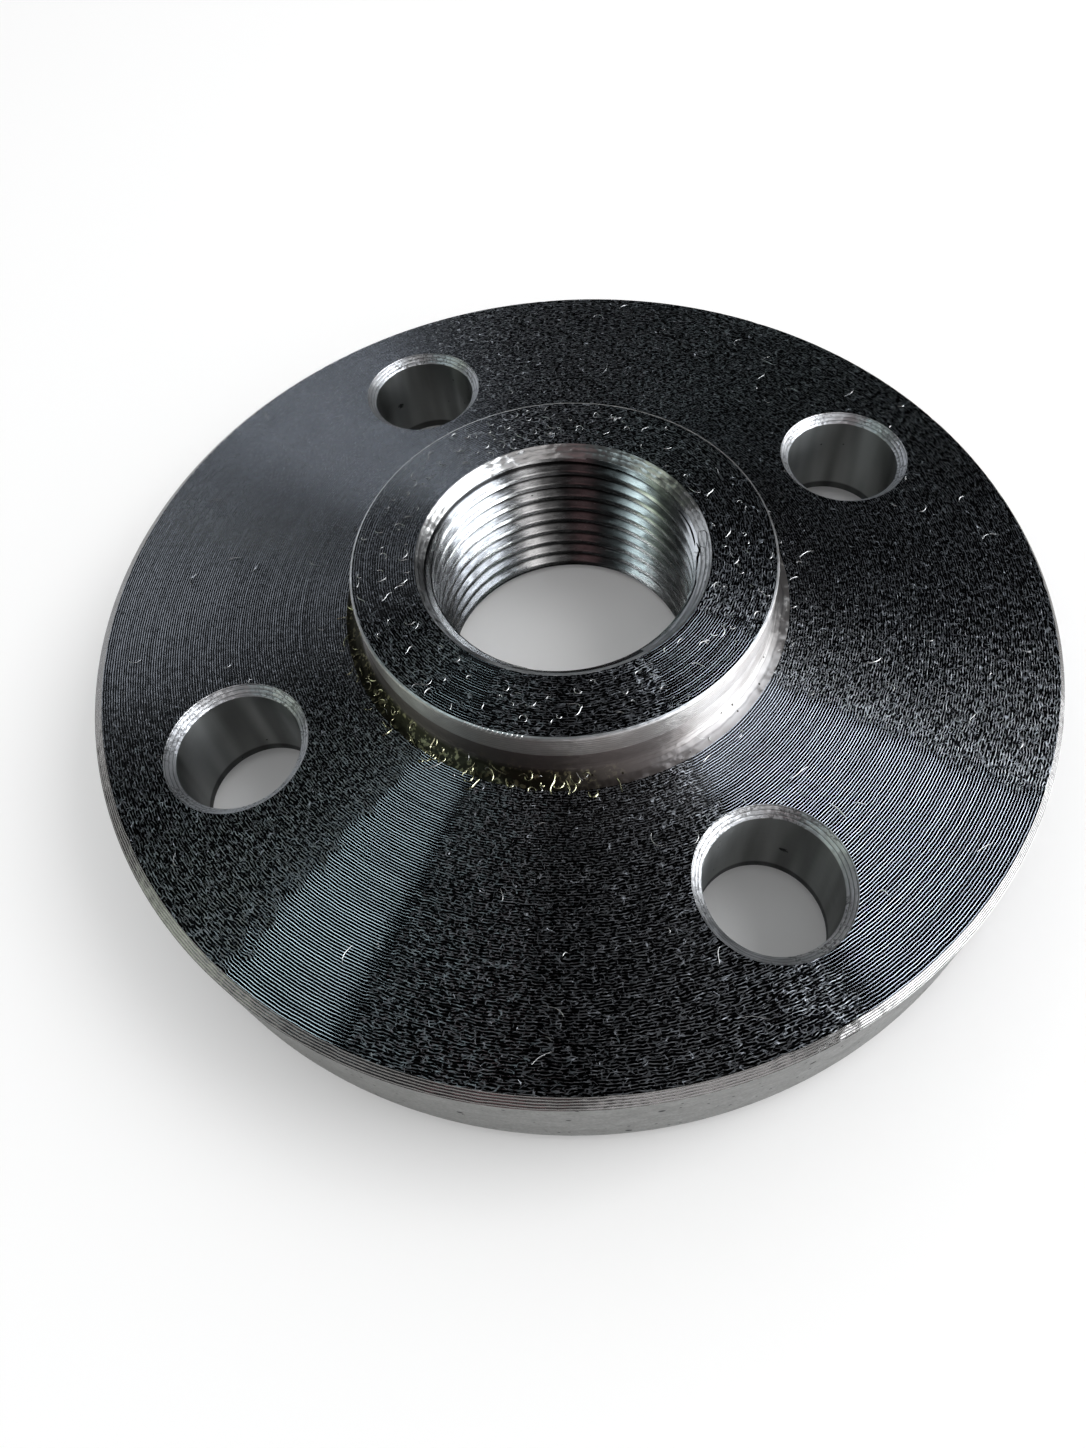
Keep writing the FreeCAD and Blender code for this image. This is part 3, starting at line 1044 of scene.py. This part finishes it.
def add_hole_burrs(shell, draw):
    """Leave small burrs around the mouths of the bolt holes."""
    centres = hole_centres()
    for index in range(EDGE_CHIPS):
        x, y = centres[index % HOLE_COUNT]
        around = draw.uniform(0, math.tau)
        reach = HOLE_RADIUS + HOLE_TOP_CHAMFER + draw.uniform(0.12, 0.35)
        x += reach * math.cos(around)
        y += reach * math.sin(around)
        thickness = draw.uniform(0.02, 0.04)
        path = chip_path(draw, math.hypot(x, y), math.atan2(y, x), draw.uniform(0.2, 0.7), 2.0, thickness)
        if lies_on_plate(path):
            add_tube(shell, path, thickness)


def add_hub_burr(shell):
    """Leave a row of short slanted ticks on the hub's top edge, at the front left."""
    for tick in range(BURR_TICKS):
        share = tick / (BURR_TICKS - 1)
        bearing = photo_bearing(BURR_START + (BURR_END - BURR_START) * share)
        path = []
        for step in range(BURR_STEPS + 1):
            along = step / BURR_STEPS
            radius = HUB_RADIUS - HUB_EDGE_CHAMFER + 0.02 + BURR_REACH * along
            height = HUB_TOP - 0.03 - BURR_REACH * along ** 2
            path.append(Vector(polar(radius, bearing - BURR_SLANT * along, height)) / MM)
        add_tube(shell, path, BURR_THICKNESS)


def build_swarf():
    """Build the chips and burrs left by the machining, and near-black tubes of painted shade in the mouth's
    cracks.
    """
    shell = Shell()
    draw = random.Random(CHIP_SEED)
    add_chips(shell, draw, PLATE_CHIPS, HUB_RADIUS + 3, RIM_RADIUS - 2, (0.5, 2.6), 2.8)
    add_chips(shell, draw, ROOT_CHIPS, HUB_RADIUS + 0.3, HUB_RADIUS + 3.5, (0.3, 1.2), 3.2)
    add_hole_burrs(shell, draw)
    add_hub_burr(shell)
    add_hub_chips(shell, draw)
    add_oily_chips(shell, draw)
    add_torn_lip(shell)
    return add_piece("swarf", shell, {
        "chip": turned_steel("chip_steel", 0.3, 0.1, (0.85, 0.85, 0.83), 0.35, grain=0.0),
        "oily_chip": turned_steel("oily_chip_steel", 0.3, 0.1, (0.62, 0.61, 0.40), 0.22, grain=0.0),
        # Painted shade: near-black tubes stand for the dark inside of the cracks
        "gap": turned_steel("crack_shade_steel", 0.3, 0.1, (0.004, 0.004, 0.004), 0.5, grain=0.0),
    })


def add_object(name, data):
    """Return a new object with the data, linked into the scene."""
    made = bpy.data.objects.new(name, data)
    bpy.context.scene.collection.objects.link(made)
    return made


def add_piece(name, shell, materials):
    """Make a piece of a shell, its faces turned outwards and its sharp edges marked."""
    piece = add_object(name, shell.mesh(name, materials))
    work = bmesh.new()
    work.from_mesh(piece.data)
    bmesh.ops.recalc_face_normals(work, faces=work.faces)
    for edge in work.edges:
        edge.smooth = edge.calc_face_angle(0.0) < SHARP_ANGLE
    work.to_mesh(piece.data)
    work.free()
    return piece


def add_camera():
    """Place the camera where the photograph was taken from."""
    turn = Matrix.Rotation(PHOTO_TURN, 4, "Z")
    tilt = Matrix.Rotation(math.pi / 2 - CAMERA_ELEVATION, 4, "X")
    roll = Matrix.Rotation(CAMERA_ROLL, 4, "Z")
    place = tilt @ Vector((0, 0, CAMERA_DISTANCE)) + Vector((*CAMERA_OFFSET, PLATE_TOP))
    data = bpy.data.cameras.new("camera")
    data.sensor_width = SENSOR_SIZE
    data.lens = CAMERA_FOCAL_PIXELS * SENSOR_SIZE / PHOTO_HEIGHT
    data.shift_y = (CAMERA_AXIS_ROW - PHOTO_HEIGHT / 2) / PHOTO_HEIGHT
    data.clip_start = CAMERA_NEAR
    data.clip_end = CAMERA_FAR
    camera = add_object("camera", data)
    camera.matrix_world = turn @ Matrix.Translation(place * MM) @ tilt @ roll
    bpy.context.scene.camera = camera


def add_lamp(name, bearing, elevation, wide, high, radiance, tint, roll=0.0):
    """Add a soft box that faces the flange, with its place, size and roll in degrees."""
    data = bpy.data.lights.new(name, "AREA")
    data.shape = "RECTANGLE"
    data.size, data.size_y = (2 * LAMP_DISTANCE * math.tan(math.radians(angle / 2))
                              for angle in (wide, high))
    data.energy = radiance * math.pi * data.size * data.size_y
    data.color = tint
    lamp = add_object(name, data)
    towards = direction(bearing, elevation)
    lamp.location = towards * LAMP_DISTANCE
    lamp.rotation_mode = "QUATERNION"
    lamp.rotation_quaternion = towards.to_track_quat("Z", "Y") @ Quaternion((0, 0, 1), math.radians(roll))
    lamp.visible_camera = False
    return lamp


def add_lights():
    """Add cards that only show in polished surfaces, and a sky and a key that shade the floor."""
    for card in REFLECTORS:
        add_lamp(*card).visible_diffuse = False
    add_lamp("key_softbox", 0, 50, 30, 30, KEY_RADIANCE, (1.0, 1.0, 1.0)).visible_glossy = False
    data = bpy.data.lights.new("sky_dome", "SUN")
    data.angle = math.pi
    data.energy = SKY_IRRADIANCE
    sky = add_object("sky_dome", data)
    sky.visible_glossy = False
    sky.visible_camera = False


def add_floor():
    """Add a plain pale floor under the flange."""
    data = bpy.data.meshes.new("floor")
    far = FLOOR_HALF_WIDTH
    data.from_pydata([(-far, -far, 0), (far, -far, 0), (far, far, 0), (-far, far, 0)], [], [(0, 1, 2, 3)])
    material = bpy.data.materials.new("pale_floor")
    data.materials.append(material)
    nodes = Nodes(material)
    nodes.tree.nodes.clear()
    by_camera = nodes.node("ShaderNodeLightPath").outputs["Is Camera Ray"]
    tone = nodes.blend(by_camera, FLOOR_IN_STEEL, FLOOR_TONE)
    paper = nodes.node("ShaderNodeBsdfDiffuse", Color=tone)
    glow = nodes.node("ShaderNodeEmission", Strength=nodes.times(by_camera, FLOOR_LIFT))
    both = nodes.joined("ShaderNodeAddShader", paper, glow)
    nodes.node("ShaderNodeOutputMaterial", Surface=both.outputs[0])
    floor = add_object("floor", data)


def add_world():
    """Give the camera a white backdrop, and polished faces a dim room to reflect."""
    world = bpy.data.worlds.new("studio")
    bpy.context.scene.world = world
    nodes = Nodes(world)
    nodes.tree.nodes.clear()
    looking = nodes.node("ShaderNodeTexCoord").outputs["Generated"]
    tone = ROOM_TONE
    for bearing, elevation, inner, outer, tint in GLOWS:
        towards = nodes.vector("DOT_PRODUCT", looking, direction(bearing, elevation))
        glow = nodes.scaled(tint, nodes.within_cone(towards, inner, outer))
        tone = nodes.vector("ADD", tone, glow)
    room = nodes.node("ShaderNodeBackground", Color=tone)
    backdrop = nodes.node("ShaderNodeBackground", Color=(1, 1, 1), Strength=BACKDROP_STRENGTH)
    mixed = nodes.joined("ShaderNodeMixShader", room, backdrop)
    nodes.fill(mixed, Fac=nodes.node("ShaderNodeLightPath").outputs["Is Camera Ray"])
    nodes.node("ShaderNodeOutputWorld", Surface=mixed.outputs[0])


add_camera()
flange = build_flange()
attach(flange, "root")
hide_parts("threaded_flange")
swarf = build_swarf()
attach(swarf, "root")
add_floor()
add_world()
add_lights()

bpy.context.scene.view_settings.view_transform = "Standard"
